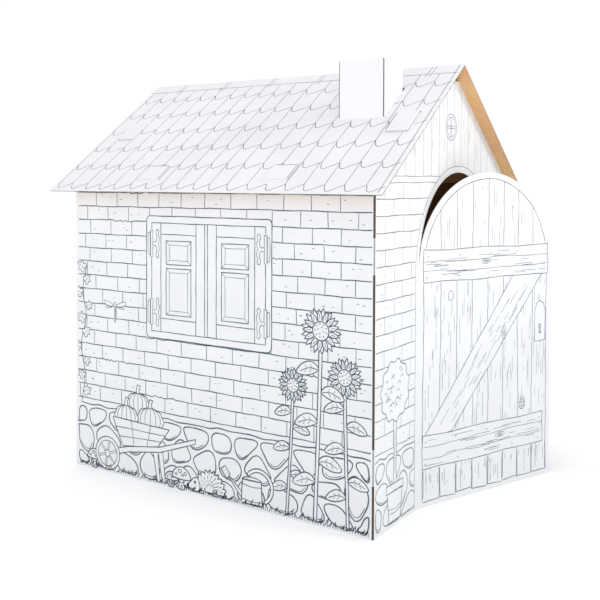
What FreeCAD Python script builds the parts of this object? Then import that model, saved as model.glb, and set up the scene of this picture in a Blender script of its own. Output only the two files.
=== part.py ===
import FreeCAD, Part
import math
import os
import re
import Sketcher

# A child's playhouse folded from flat sheets of corrugated board.
# Two equal L-shaped wall sheets close into a box, a folded sheet makes the roof, and tabs on
# the walls pass through slots in the roof and fold down onto it. A small chimney plugs in.
#
# Every sheet is drawn from the house's front left corner on the floor: X runs right along the
# front gable, Y runs back along the left wall, Z up. The placements at the end move the
# origin to the middle of the whole part's floor area.

doc = FreeCAD.newDocument("playhouse")

# ---- driving sizes, in mm and degrees

sizes = {
    "board": (4, "thickness of the corrugated board"),
    "liner": (0.5, "thickness of its inner paper, which alone holds a cut fold together"),
    "house_width": (826, "over the outer faces of the two side walls"),
    "house_length": (940, "over the outer faces of the two gables"),
    "wall_height": (790, "floor to the top of a side wall"),
    "roof_pitch": (36.1, "slope of the roof"),
    "gable_flat": (94, "width of the level cut that takes off each gable's peak"),
    "glue_flap": (60, "width of the flap that glues one wall sheet to the other"),
    "flap_taper": (45, "how much each end of the glue flap is sloped off"),
    "bridge_height": (82, "height of each uncut stretch of a corner fold"),
    "bridge_inset": (120, "from the floor, and from the wall's top, to the nearest bridge"),
    "eave_reach": (44, "roof past the side wall, along the slope"),
    "front_overhang": (36, "roof past the front gable"),
    "rear_overhang": (65, "roof past the rear gable"),
    "side_tab_width": (67, "tab on a side wall"),
    "side_tab_first": (233, "from the sheet's corner to its first side tab"),
    "side_tab_second": (636, "from the sheet's corner to its second side tab"),
    "gable_tab_width": (82, "tab on a gable, along the slope"),
    "gable_tab_start": (203, "along the slope from the side wall to a gable tab"),
    "tab_fold": (56, "length of a tab that lies on the roof"),
    "slot_clearance": (0.4, "gap round a tab in its slot"),
    "gable_slot_spare": (5, "gable slot past its tab's uphill end"),
    "door_from_corner": (225, "front left corner to the door's fold"),
    "door_width": (482, "width of the doorway and of its leaf"),
    "door_spring": (578, "floor to the foot of the doorway's round arch"),
    "door_open": (22, "how far the leaf stands open, in degrees"),
    "chimney_width": (130, "chimney along the house"),
    "chimney_depth": (104, "chimney across the house"),
    "chimney_top": (1097, "floor to the chimney's rim"),
    "chimney_from_wall": (214, "left wall's outer face to the chimney"),
    "chimney_from_front": (91, "front gable's outer face to the chimney"),
    "chimney_flap": (25, "glue flap inside the chimney"),
    "chimney_tab": (30, "how far a chimney tab reaches from the roof's outer face"),
    "chimney_tab_inset": (12, "downhill corner of the chimney to its tab"),
    "chimney_tab_taper": (8, "how much each end of a chimney tab is sloped off"),
    "slot_overrun": (11, "chimney slot past the chimney's uphill corner"),
    "cut_past": (5, "how far a cut runs past the faces that it opens"),
}

sheet = doc.addObject("Spreadsheet::Sheet", "Sizes")
for row, (alias, (number, note)) in enumerate(sizes.items(), start=1):
    sheet.set(f"A{row}", note)
    sheet.set(f"B{row}", str(number))
    sheet.setAlias(f"B{row}", alias)
doc.recompute()


def bound(text):
    # an expression in plain size names, as one that reads the sheet
    return re.sub(r"[a-z]\w*", lambda word: f"Sizes.{word[0]}" if word[0] in sizes else word[0], text)


def value(text):
    # what an expression comes to now
    result = sheet.evalExpression(bound(text))
    return float(getattr(result, "Value", result))


# ---- places that several sheets share, as expressions of the sizes

rise = "tan(roof_pitch)"
roof_skin = "board / cos(roof_pitch)"       # the roof board's thickness, measured upright
half = "house_width / 2"
ridge = f"(wall_height + {half} * {rise})"    # inside of the roof's fold
peak = f"(wall_height + ({half} - gable_flat / 2) * {rise})"
fold_edge = "(house_width - 2 * board)"       # where a gable ends and its flap's fold begins
sideways = FreeCAD.Vector(1, 0, 0)            # a sketch's own axes, to turn it about
upright = FreeCAD.Vector(0, 1, 0)


# ---- sketches and features

def sketch_on(body, role, name, base=(), axis=None, turn="0"):
    # a sketch on one of the body's own origin planes, moved and turned within that plane's axes
    plane = next(item for item in body.Origin.OriginFeatures if item.Role == role)
    sketch = body.newObject("Sketcher::SketchObject", name)
    sketch.AttachmentSupport = [(plane, "")]
    sketch.MapMode = "FlatFace"
    if axis:
        angle = value(turn)
        sketch.AttachmentOffset = FreeCAD.Placement(FreeCAD.Vector(), FreeCAD.Rotation(axis, angle))
        sketch.setExpression("AttachmentOffset.Rotation.Angle", bound(turn))
    for letter, text in zip("xyz", base):
        sketch.setExpression(f"AttachmentOffset.Base.{letter}", bound(text))
    return sketch


def arc_between(here, there, centre, turn):
    # Part's arcs run anticlockwise, so one that turns right is drawn from its far end
    circle = Part.Circle(centre, FreeCAD.Vector(0, 0, 1), here.distanceToPoint(centre))
    start, end = (here, there) if turn == "left" else (there, here)
    first = math.atan2(start.y - centre.y, start.x - centre.x)
    last = math.atan2(end.y - centre.y, end.x - centre.x)
    return Part.ArcOfCircle(circle, first, last if last > first else last + 2 * math.pi)


def fix(sketch, kind, edge, end, text):
    index = sketch.addConstraint(Sketcher.Constraint(kind, edge, end, value(text)))
    sketch.setExpression(f"Constraints[{index}]", bound(text))


def draw(sketch, corners):
    # One closed outline. Each corner is (x, y), both expressions, and a straight edge follows.
    # A corner (x, y, (centre x, centre y, "left" or "right")) is followed by an arc.
    spots = [FreeCAD.Vector(value(corner[0]), value(corner[1]), 0) for corner in corners]
    count = len(corners)
    first = sketch.GeometryCount
    ends = []
    for number, corner in enumerate(corners):
        here = spots[number]
        there = spots[(number + 1) % count]
        if len(corner) == 2:
            sketch.addGeometry(Part.LineSegment(here, there))
            ends.append((1, 2))
        else:
            centre_x, centre_y, turn = corner[2]
            centre = FreeCAD.Vector(value(centre_x), value(centre_y), 0)
            sketch.addGeometry(arc_between(here, there, centre, turn))
            ends.append((1, 2) if turn == "left" else (2, 1))
    for number, corner in enumerate(corners):
        following = (number + 1) % count
        sketch.addConstraint(Sketcher.Constraint(
            "Coincident", first + number, ends[number][1], first + following, ends[following][0]))
        fix(sketch, "DistanceX", first + number, ends[number][0], corner[0])
        fix(sketch, "DistanceY", first + number, ends[number][0], corner[1])
        if len(corner) == 3:
            chord = spots[following] - spots[number]
            if abs(chord.y) > abs(chord.x):
                fix(sketch, "DistanceX", first + number, 3, corner[2][0])
            else:
                fix(sketch, "DistanceY", first + number, 3, corner[2][1])


def rectangle(left, bottom, right, top):
    return [(left, bottom), (right, bottom), (right, top), (left, top)]


def pad(body, sketch, name, length, reverse=False):
    feature = body.newObject("PartDesign::Pad", name)
    feature.Profile = sketch
    feature.Reversed = reverse
    feature.setExpression("Length", bound(length))
    doc.recompute()
    return feature


def pocket(body, sketch, name, length):
    # cuts the given length, half of it to each side of the sketch, and must remove something
    before = body.Shape.Volume
    feature = body.newObject("PartDesign::Pocket", name)
    feature.Profile = sketch
    feature.Midplane = True
    feature.setExpression("Length", bound(length))
    doc.recompute()
    if body.Shape.Volume > before - 1:
        raise RuntimeError(name + " removes nothing")
    return feature


def new_body(label):
    body = doc.addObject("PartDesign::Body", label)
    body.Label = label
    return body


def place(body, x, y, turn=0):
    body.Placement = FreeCAD.Placement(FreeCAD.Vector(), FreeCAD.Rotation(FreeCAD.Vector(0, 0, 1), turn))
    body.setExpression("Placement.Base.x", bound(x))
    body.setExpression("Placement.Base.y", bound(y))


# ---- a wall sheet: one side wall, the gable beside it and the flap that glues to the other sheet

def plan(body):
    # Seen from above: a side wall and a gable that meet in a cut fold, then the rounded fold of
    # the glue flap. In a cut fold the board is slit from outside, so its raw edges face each
    # other across an open notch and only the inner paper runs round the corner.
    sketch = sketch_on(body, "XY_Plane", "plan")
    draw(sketch, [
        ("0", "board"),
        ("0", "house_length"),
        ("board", "house_length"),
        ("board", "board"),
        ("house_width - board", "board", (fold_edge, "board", "right")),
        (fold_edge, "0"),
        ("board", "0"),
        ("board", "board - liner"),
        ("board - liner", "board - liner"),
        ("board - liner", "board"),
    ])
    pad(body, sketch, "walls", "wall_height")


def gable_top(body):
    # follows the underside of the roof, with the peak cut off level
    sketch = sketch_on(body, "XZ_Plane", "gable_outline")
    draw(sketch, [
        ("board", "wall_height"),
        (fold_edge, "wall_height"),
        (fold_edge, f"wall_height + 2 * board * {rise}"),
        (f"{half} + gable_flat / 2", peak),
        (f"{half} - gable_flat / 2", peak),
        ("board", f"wall_height + board * {rise}"),
    ])
    pad(body, sketch, "gable", "board", reverse=True)


def flap(body):
    # lies inside the other sheet's side wall
    sketch = sketch_on(body, "YZ_Plane", "flap_outline", ("0", "0", fold_edge))
    draw(sketch, [
        ("board", "0"),
        ("board + glue_flap", "flap_taper"),
        ("board + glue_flap", "wall_height - flap_taper"),
        ("board", "wall_height"),
    ])
    pad(body, sketch, "flap", "board")


def bridges(body):
    # two stretches where the fold isn't slit and the whole board rounds the corner
    for name, foot in (("low", "bridge_inset"), ("high", "wall_height - bridge_inset - bridge_height")):
        sketch = sketch_on(body, "XY_Plane", f"bridge_{name}_outline", ("0", "0", foot))
        draw(sketch, [
            ("board", "board"),
            ("0", "board", ("board", "board", "left")),
            ("board", "0"),
        ])
        pad(body, sketch, f"bridge_{name}", "bridge_height")


def side_tabs(body):
    # upright through the roof, then folded uphill to lie on it
    pivot = f"(wall_height + board * {rise} + {roof_skin})"
    for name, start in (("first", "side_tab_first"), ("second", "side_tab_second")):
        sketch = sketch_on(body, "XZ_Plane", f"side_tab_{name}_outline", ("0", "0", f"-{start}"))
        draw(sketch, [
            ("0", "wall_height"),
            ("board", "wall_height"),
            ("board", pivot),
            ("board + tab_fold * cos(roof_pitch)", f"{pivot} + tab_fold * sin(roof_pitch)"),
            ("board + tab_fold * cos(roof_pitch) - board * sin(roof_pitch)",
             f"{pivot} + tab_fold * sin(roof_pitch) + board * cos(roof_pitch)"),
            ("board - board * sin(roof_pitch)", f"{pivot} + board * cos(roof_pitch)",
             ("board", pivot, "left")),
            ("0", pivot),
        ])
        pad(body, sketch, f"side_tab_{name}", "side_tab_width", reverse=True)


def gable_tabs(body):
    # square to the slope through the roof, then folded back over it, away from the overhang
    low = "gable_tab_start"
    high = "(gable_tab_start + gable_tab_width)"
    sides = (
        ("left", f"{low} * cos(roof_pitch)", f"wall_height + {low} * sin(roof_pitch)", "-roof_pitch"),
        ("right", f"house_width - {high} * cos(roof_pitch)", f"wall_height + {high} * sin(roof_pitch)",
         "roof_pitch"),
    )
    for name, across, up, turn in sides:
        sketch = sketch_on(body, "YZ_Plane", f"gable_tab_{name}_outline", ("0", up, across), sideways, turn)
        draw(sketch, [
            ("0", "0"),
            ("board", "0"),
            ("board", "board"),
            ("board + tab_fold", "board"),
            ("board + tab_fold", "2 * board"),
            ("board", "2 * board", ("board", "board", "left")),
            ("0", "board"),
        ])
        pad(body, sketch, f"gable_tab_{name}", "gable_tab_width")


def arch(sketch, hinge, foot):
    # the doorway and its leaf are one cut, so they share one outline
    middle = f"({hinge} + door_width / 2)"
    draw(sketch, [
        (hinge, foot),
        (f"{hinge} + door_width", foot),
        (f"{hinge} + door_width", "door_spring", (middle, "door_spring", "left")),
        (hinge, "door_spring"),
    ])


def door(body):
    # cut out of the gable on all sides but one, and folded outward about the gable's outer face
    opening = sketch_on(body, "XZ_Plane", "doorway_outline")
    arch(opening, "door_from_corner", "-cut_past")
    pocket(body, opening, "doorway", "2 * board + cut_past")

    fold = sketch_on(body, "XY_Plane", "door_fold_outline")
    draw(fold, [
        ("door_from_corner", "0"),
        ("door_from_corner + board * sin(door_open)", "board * cos(door_open)",
         ("door_from_corner", "0", "left")),
        ("door_from_corner", "board"),
    ])
    pad(body, fold, "door_fold", "door_spring")

    leaf = sketch_on(body, "XZ_Plane", "door_leaf_outline", ("door_from_corner",), upright, "-door_open")
    arch(leaf, "0", "0")
    pad(body, leaf, "door_leaf", "board", reverse=True)


def wall_sheet(label, with_door):
    body = new_body(label)
    plan(body)
    gable_top(body)
    flap(body)
    bridges(body)
    side_tabs(body)
    gable_tabs(body)
    if with_door:
        door(body)
    return body


# ---- the roof: one sheet folded at the ridge, with a slot for each tab

def on_slope(body, name, side):
    # a sketch on the underside of a slope: its X runs along the slope from the side wall's top,
    # uphill on the left and downhill on the right
    if side == "left":
        return sketch_on(body, "XY_Plane", name, ("0", "0", "wall_height"), upright, "-roof_pitch")
    return sketch_on(body, "XY_Plane", name, ("house_width", "0", "wall_height"), upright, "roof_pitch")


def roof_sheet(label):
    body = new_body(label)
    eave = "wall_height - eave_reach * sin(roof_pitch)"
    reach = "eave_reach * cos(roof_pitch)"
    out = "board * sin(roof_pitch)"
    up = "board * cos(roof_pitch)"
    profile = sketch_on(body, "XZ_Plane", "roof_profile", ("0", "0", "front_overhang"))
    draw(profile, [
        (f"-{reach}", eave),
        (half, ridge),
        (f"house_width + {reach}", eave),
        (f"house_width + {reach} + {out}", f"{eave} + {up}"),
        (f"{half} + {out}", f"{ridge} + {up}", (half, ridge, "left")),
        (f"{half} - {out}", f"{ridge} + {up}"),
        (f"-{reach} - {out}", f"{eave} + {up}"),
    ])
    pad(body, profile, "slopes", "front_overhang + house_length + rear_overhang", reverse=True)
    side_slots(body)
    gable_slots(body)
    chimney_slots(body)
    return body


def side_slots(body):
    # cut upright, as the side walls' tabs come through; the right wall's sheet is turned round
    sketch = sketch_on(body, "XY_Plane", "side_slot_outline", ("0", "0", "wall_height"))
    for start in ("side_tab_first", "side_tab_second"):
        draw(sketch, rectangle(
            "-slot_clearance", f"{start} - slot_clearance",
            "board + slot_clearance", f"{start} + side_tab_width + slot_clearance"))
        draw(sketch, rectangle(
            "house_width - board - slot_clearance",
            f"house_length - {start} - side_tab_width - slot_clearance",
            "house_width + slot_clearance", f"house_length - {start} + slot_clearance"))
    pocket(body, sketch, "side_slots", f"2 * (2 * board * {rise} + {roof_skin} + cut_past)")


def gable_slots(body):
    # each leaves its tab some play at the uphill end
    near = "gable_tab_start - slot_clearance"
    far = "gable_tab_start + gable_tab_width + gable_slot_spare"
    for side, low, high in (("left", near, far), ("right", f"-({far})", f"-({near})")):
        sketch = on_slope(body, f"gable_slot_{side}_outline", side)
        draw(sketch, rectangle(low, "-slot_clearance", high, "board + slot_clearance"))
        draw(sketch, rectangle(
            low, "house_length - board - slot_clearance", high, "house_length + slot_clearance"))
        pocket(body, sketch, f"gable_slots_{side}", "2 * board + cut_past")


def chimney_slots(body):
    # they run a little past the chimney's uphill corner, so its tabs can be pushed in
    downhill = "(chimney_from_wall + chimney_tab_inset) / cos(roof_pitch)"
    uphill = "(chimney_from_wall + chimney_depth) / cos(roof_pitch)"
    near = f"{downhill} + board * {rise} - slot_clearance"
    far = f"{uphill} + board * {rise} + slot_overrun"
    sketch = on_slope(body, "chimney_slot_outline", "left")
    for start in ("chimney_from_front", "chimney_from_front + chimney_width - board"):
        draw(sketch, rectangle(
            near, f"{start} - slot_clearance", far, f"{start} + board + slot_clearance"))
    pocket(body, sketch, "chimney_slots", "2 * board + cut_past")


# ---- the chimney: a strip folded into a ring, drawn from its own front left corner

def chimney_ring(label):
    body = new_body(label)
    foot = f"(wall_height + chimney_from_wall * {rise} + {roof_skin})"
    deep = "chimney_depth"
    wide = "chimney_width"
    inner = "board - liner"
    ring = sketch_on(body, "XY_Plane", "ring_plan", ("0", "0", foot))
    # outside, with a cut fold at each corner; at the last one the flap goes in behind the end
    draw(ring, [
        ("board", "0"),
        (f"{deep} - board", "0"),
        (f"{deep} - board", inner),
        (f"{deep} - board + liner", inner),
        (f"{deep} - board + liner", "board"),
        (deep, "board"),
        (deep, f"{wide} - 2 * board"),
        (f"{deep} - board + liner", f"{wide} - 2 * board"),
        (f"{deep} - board + liner", f"{wide} - 2 * board + liner"),
        (f"{deep} - board", f"{wide} - 2 * board + liner"),
        (f"{deep} - board", f"{wide} - board"),
        (deep, f"{wide} - board"),
        (deep, wide),
        ("board", wide),
        ("board", f"{wide} - board + liner"),
        (inner, f"{wide} - board + liner"),
        (inner, f"{wide} - board"),
        ("0", f"{wide} - board"),
        ("0", "board"),
        (inner, "board"),
        (inner, inner),
        ("board", inner),
    ])
    # inside, with the flap glued along the last wall
    draw(ring, [
        ("board", "board"),
        (f"{deep} - board", "board"),
        (f"{deep} - board", f"{wide} - 2 * board"),
        (f"{deep} - board - chimney_flap", f"{wide} - 2 * board"),
        (f"{deep} - board - chimney_flap", f"{wide} - board"),
        ("board", f"{wide} - board"),
    ])
    pad(body, ring, "ring", f"chimney_top - {foot}")

    under = sketch_on(body, "XZ_Plane", "foot_outline", ("0", "0", f"-{wide} / 2"))
    draw(under, [
        ("0", foot),
        (f"{deep} + cut_past", foot),
        (f"{deep} + cut_past", f"{foot} + ({deep} + cut_past) * {rise}"),
    ])
    pocket(body, under, "sloped_foot", f"{wide} + 2 * cut_past")
    chimney_tabs(body, foot)
    return body


def chimney_tabs(body, foot):
    # square to the slope, through the roof and hidden under it
    low = "chimney_tab_inset"
    high = "(chimney_depth - board)"
    across = "chimney_tab * sin(roof_pitch)"
    down = "chimney_tab * cos(roof_pitch)"
    taper_across = "chimney_tab_taper * cos(roof_pitch)"
    taper_up = "chimney_tab_taper * sin(roof_pitch)"
    for name, start in (("front", "0"), ("rear", "chimney_width - board")):
        sketch = sketch_on(body, "XZ_Plane", f"chimney_tab_{name}_outline", ("0", "0", f"-({start})"))
        draw(sketch, [
            (low, f"{foot} + {low} * {rise}"),
            (f"{low} + {across} + {taper_across}", f"{foot} + {low} * {rise} - {down} + {taper_up}"),
            (f"{high} + {across} - {taper_across}", f"{foot} + {high} * {rise} - {down} - {taper_up}"),
            (high, f"{foot} + {high} * {rise}"),
        ])
        pad(body, sketch, f"chimney_tab_{name}", "board", reverse=True)


# ---- the whole house, about the middle of its floor area with the door standing open

front = wall_sheet("front_and_left_wall", with_door=True)
rear = wall_sheet("rear_and_right_wall", with_door=False)
roof = roof_sheet("roof")
chimney = chimney_ring("chimney")

reach_front = "max(front_overhang; door_width * sin(door_open))"
middle = f"((house_length + rear_overhang - {reach_front}) / 2)"
place(front, f"-{half}", f"-{middle}")
place(rear, half, f"house_length - {middle}", turn=180)
place(roof, f"-{half}", f"-{middle}")
place(chimney, f"chimney_from_wall - {half}", f"chimney_from_front - {middle}")
doc.recompute()

# ---- check, then write one file per sheet

for item in doc.Objects:
    if {"Invalid", "Error"} & set(item.State):
        raise RuntimeError(f"{item.Label}: {item.State}")

os.makedirs("parts", exist_ok=True)
for body in (front, rear, roof, chimney):
    shape = body.Shape
    if shape.isNull() or not shape.isValid() or len(shape.Solids) != 1:
        raise RuntimeError(body.Label + " isn't one valid solid")
    shape.exportStep(f"parts/{body.Label}.step")
    box = shape.BoundBox
    print(body.Label, f"{shape.Volume / 1000:.0f} cm3",
          f"x {box.XMin:.1f} to {box.XMax:.1f}, y {box.YMin:.1f} to {box.YMax:.1f},",
          f"z {box.ZMin:.1f} to {box.ZMax:.1f}")
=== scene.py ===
import random
from math import atan2, ceil, cos, pi, radians, sin, sqrt

import bpy
import numpy as np
from mathutils import Matrix, Vector


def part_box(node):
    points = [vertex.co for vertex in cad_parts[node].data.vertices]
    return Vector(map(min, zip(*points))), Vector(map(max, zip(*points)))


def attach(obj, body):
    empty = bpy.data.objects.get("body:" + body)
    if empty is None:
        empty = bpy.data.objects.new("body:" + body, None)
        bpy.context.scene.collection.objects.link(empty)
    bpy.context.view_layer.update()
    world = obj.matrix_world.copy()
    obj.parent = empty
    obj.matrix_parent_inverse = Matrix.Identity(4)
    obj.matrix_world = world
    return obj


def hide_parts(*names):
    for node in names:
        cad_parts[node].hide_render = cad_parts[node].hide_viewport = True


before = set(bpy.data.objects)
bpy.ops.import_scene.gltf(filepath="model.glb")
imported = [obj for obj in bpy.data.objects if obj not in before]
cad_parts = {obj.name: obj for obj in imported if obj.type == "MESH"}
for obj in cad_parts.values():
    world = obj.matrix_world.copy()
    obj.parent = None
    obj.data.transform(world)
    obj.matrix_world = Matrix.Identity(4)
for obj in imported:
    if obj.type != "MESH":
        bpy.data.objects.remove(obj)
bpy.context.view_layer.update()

mm = 0.001
wholeTurn = 6.28  # radians, for random phases

# the house as it was cut, in mm and degrees; where it stands comes from the frame
house = {
    "board": 4.0,
    "flutePitch": 7.9,  # C flute, from crest to crest
    "pitch": 36.1,
    "wallHeight": 790.0,
    "gableFlat": 94.0,
    "doorFromCorner": 225.0,
    "doorWidth": 482.0,
    "doorSpring": 578.0,
    "doorOpen": 22.0,
    "eaveReach": 44.0,
    "frontOverhang": 36.0,
    "rearOverhang": 65.0,
    "chimneyAcross": 104.0,
    "chimneyAlong": 130.0,
}

rearLow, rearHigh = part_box("rear_and_right_wall")
frontLow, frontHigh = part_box("front_and_left_wall")
chimneyLow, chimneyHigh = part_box("chimney")
left, right = frontLow.x, rearHigh.x  # outer faces of the side walls
front, back = rearLow.y, frontHigh.y  # outer faces of the gables
board = house["board"]
width = (right - left) / mm
length = (back - front) / mm
wallTop = house["wallHeight"]
doorWidth, doorSpring = house["doorWidth"], house["doorSpring"]
sinPitch = sin(radians(house["pitch"]))
cosPitch = cos(radians(house["pitch"]))
sinOpen = sin(radians(house["doorOpen"]))
cosOpen = cos(radians(house["doorOpen"]))
slope = sinPitch / cosPitch
gablePeak = wallTop + (width - house["gableFlat"]) / 2 * slope
slopeLength = (width / 2) / cosPitch  # side wall's outer face to the ridge, along the slope
print("frame read: house", round(width), "by", round(length), "mm")


def chart(origin, along, out, cut="outline", up=(0, 0, 1)):
    # one flat face of a sheet with its own directions as seen from outside; cut tells its edges
    return {"origin": Vector(origin), "along": Vector(along), "up": Vector(up), "out": Vector(out),
            "cut": cut}


def place(face, u, v, lift):
    return face["origin"] + (face["along"] * u + face["up"] * v + face["out"] * lift) * mm


charts = {
    "leftWall": chart((left, front, 0), (0, 1, 0), (-1, 0, 0)),
    "frontGable": chart((left, front, 0), (1, 0, 0), (0, -1, 0)),
    "doorLeaf": chart((left + house["doorFromCorner"] * mm, front, 0),
                      (cosOpen, -sinOpen, 0), (-sinOpen, -cosOpen, 0)),
    "frontFlap": chart((right - board * mm, front + board * mm, 0), (0, 1, 0), (1, 0, 0)),
    "rightWall": chart((right, back, 0), (0, -1, 0), (1, 0, 0)),
    "rearGable": chart((right, back, 0), (-1, 0, 0), (0, 1, 0)),
    "rearFlap": chart((left + board * mm, back - board * mm, 0), (0, -1, 0), (-1, 0, 0)),
    "chimneyLeft": chart(chimneyLow, (0, 1, 0), (-1, 0, 0), "shut"),
    "chimneyFront": chart(chimneyLow, (1, 0, 0), (0, -1, 0), "shut"),
    "chimneyRight": chart((chimneyLow.x + house["chimneyAcross"] * mm, chimneyLow.y, chimneyLow.z),
                          (0, 1, 0), (1, 0, 0)),
    "chimneyRear": chart((chimneyLow.x, chimneyHigh.y, chimneyLow.z), (1, 0, 0), (0, 1, 0)),
}
# the roof's outer face is one board above the walls' top corners, and the folded tabs' is two
for side, corner, way in (("left", left, 1), ("right", right, -1)):
    out = Vector((-way * sinPitch, 0, cosPitch))
    for name, boards, cut in (("Slope", 1, "outline"), ("Tabs", 2, "tab")):
        charts[side + name] = chart(
            Vector((corner, front, wallTop * mm)) + out * boards * board * mm,
            (0, 1, 0), out, cut, (way * cosPitch, 0, sinPitch))


def addObject(name, data):
    piece = bpy.data.objects.new(name, data)
    bpy.context.scene.collection.objects.link(piece)
    return piece


def toLinear(hexColour):
    channels = [int(hexColour[start:start + 2], 16) / 255 for start in (1, 3, 5)]
    return tuple(c / 12.92 if c <= 0.04045 else ((c + 0.055) / 1.055) ** 2.4
                 for c in channels) + (1.0,)


def add(tree, kind, settings):
    # One node with its settings and links; kind is a type, or the name of a node the tree has
    # already. A node as a setting links its first output, a pair of node and output that one, and
    # a string for a socket is a colour. Stops are a ramp's.
    node = tree.nodes.get(kind) or tree.nodes.new(kind)
    for key, setting in settings.items():
        source = setting if isinstance(setting, tuple) else (setting, 0)
        if isinstance(source[0], bpy.types.Node):
            tree.links.new(source[0].outputs[source[1]], node.inputs[key])
        elif key == "stops":
            elements = node.color_ramp.elements
            while len(elements) < len(setting):
                elements.new(0.5)
            for element, (position, colour) in zip(elements, setting):
                element.position = position
                element.color = toLinear(colour)
        elif isinstance(key, str) and hasattr(node, key):
            setattr(node, key, setting)
        else:
            node.inputs[key].default_value = (
                toLinear(setting) if isinstance(setting, str) else setting)
    return node


def newMaterial(name):
    # its tree has the shader and the output already; the pair is the socket of the object's metres
    material = bpy.data.materials.new(name)
    material.use_nodes = True
    tree = material.node_tree
    return material, tree, (add(tree, "ShaderNodeTexCoord", {}), "Object")


# flutes run up the sheet: one wave for each flute pitch along the plan's u, which is in mm
fluteWave = {
    "wave_type": "BANDS", "bands_direction": "X", "wave_profile": "SIN",
    "Scale": 2 * pi / 20 / house["flutePitch"],  # the texture itself counts twentyfold
    "Detail": 1.0, "Detail Scale": 0.02,
}
sheetPlan = {"uv_map": "sheetPlan"}
mix = {"data_type": "RGBA"}
multiply, overlay = {**mix, "blend_type": "MULTIPLY"}, {**mix, "blend_type": "OVERLAY"}

coatedLook = {
    "fluteShow": 0.018,  # how far the flutes print through the liner
    "fluteTone": 0.009,  # how far they darken it
    "fibre": 1.6,  # mm, drawn coarser than real fibres so that it shows
    "mottle": 120.0,  # mm, slow change of tone where the glue took differently
    "roughness": 0.62,
}


def clayCoatedLiner(name, shade, white):
    # White top liner of corrugated board, clay coated and calendered: matt, faintly cool, with the
    # flutes just telling through as upright washboard lines when light rakes along it.
    look = coatedLook
    material, tree, spot = newMaterial(name)
    plan = add(tree, "ShaderNodeUVMap", sheetPlan)
    washboard = add(tree, "ShaderNodeTexWave", {**fluteWave, "Vector": plan, "Distortion": 0.4})
    mottle = add(tree, "ShaderNodeTexNoise", {
        "Vector": spot, "Scale": 1000 / look["mottle"], "Detail": 3.0, "Roughness": 0.55})
    fibre = add(tree, "ShaderNodeTexNoise", {
        "Vector": spot, "Scale": 1000 / look["fibre"], "Detail": 4.0, "Roughness": 0.7})
    tone = add(tree, "ShaderNodeValToRGB", {"Fac": mottle, "stops": ((0.3, shade), (0.7, white))})
    fluted = add(tree, "ShaderNodeMix", {**multiply, 0: look["fluteTone"], 6: tone, 7: washboard})
    fluteBump = add(tree, "ShaderNodeBump", {
        "Height": (washboard, "Fac"), "Strength": look["fluteShow"], "Distance": 0.4 * mm})
    fibreBump = add(tree, "ShaderNodeBump", {
        "Height": fibre, "Normal": fluteBump, "Strength": 0.12, "Distance": 0.2 * mm})
    rough = add(tree, "ShaderNodeMapRange", {
        "Value": mottle, "To Min": look["roughness"] - 0.05, "To Max": look["roughness"] + 0.06})
    add(tree, "Principled BSDF", {
        "Base Color": (fluted, 2), "Roughness": rough, "Normal": fibreBump,
        "IOR": 1.48, "Specular IOR Level": 0.35})
    return material


creaseLook = {
    "pale": "#ABAFB5", "dark": "#767A80",
    "crack": 2.2,  # mm, coarser than real cracks so that they show
}


def creasedLiner(name):
    # The coating where the white liner is bent round a fold: scuffed grey, with short cracks.
    look = creaseLook
    material, tree, spot = newMaterial(name)
    cracks = add(tree, "ShaderNodeTexNoise", {
        "Vector": spot, "Scale": 1000 / look["crack"], "Detail": 3.0, "Roughness": 0.7})
    tone = add(tree, "ShaderNodeValToRGB", {
        "Fac": cracks, "stops": ((0.42, look["dark"]), (0.58, look["pale"]))})
    bump = add(tree, "ShaderNodeBump", {"Height": cracks, "Strength": 0.3, "Distance": 0.3 * mm})
    add(tree, "Principled BSDF", {
        "Base Color": tone, "Normal": bump, "Roughness": 0.75, "Specular IOR Level": 0.25})
    return material


kraftLook = {
    "fibre": 5.0,  # mm, long fibres lie roughly along the machine's run
    "cloud": 111.1,  # mm, uneven colour of the pulp
    "fluteTone": 0.10,
    "roughness": 0.82,
}


def kraftLiner(name, speck, deep, pale):
    # Unbleached inside of the board: open fibred and quite matt, with darker shives and the
    # flutes showing as faint stripes. Kraft is the tan one; the browner copy is painted shade,
    # put on the walls' inside so that the house looks dark within.
    look = kraftLook
    material, tree, spot = newMaterial(name)
    plan = add(tree, "ShaderNodeUVMap", sheetPlan)
    stripes = add(tree, "ShaderNodeTexWave", {**fluteWave, "Vector": plan, "Distortion": 0.5})
    stretched = add(tree, "ShaderNodeMapping", {"Vector": spot, "Scale": (1.0, 1.0, 0.25)})
    fibres = add(tree, "ShaderNodeTexNoise", {
        "Vector": stretched, "Scale": 1000 / look["fibre"], "Detail": 5.0, "Roughness": 0.68})
    cloud = add(tree, "ShaderNodeTexNoise", {
        "Vector": spot, "Scale": 1000 / look["cloud"], "Detail": 3.0})
    tone = add(tree, "ShaderNodeValToRGB", {
        "Fac": fibres, "stops": ((0.26, speck), (0.40, deep), (0.62, pale))})
    clouded = add(tree, "ShaderNodeMix", {**overlay, 0: 0.25, 6: tone, 7: (cloud, "Color")})
    striped = add(tree, "ShaderNodeMix", {
        **multiply, 0: look["fluteTone"], 6: (clouded, 2), 7: stripes})
    bump = add(tree, "ShaderNodeBump", {
        "Height": (stripes, "Fac"), "Strength": 0.25, "Distance": 0.3 * mm})
    fibreBump = add(tree, "ShaderNodeBump", {
        "Height": fibres, "Normal": bump, "Strength": 0.25, "Distance": 0.3 * mm})
    add(tree, "Principled BSDF", {
        "Base Color": (striped, 2), "Normal": fibreBump, "Roughness": look["roughness"],
        "IOR": 1.47, "Specular IOR Level": 0.25})
    return material


cutLook = {
    "linerShare": 0.12,  # of the board's thickness, each liner
    "mediumShare": 0.11,
    "swing": 0.38,  # how far the medium waves from the middle
    "fluff": 1.4286,  # mm, torn fibres, a little coarser than real so that they show
}


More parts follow.
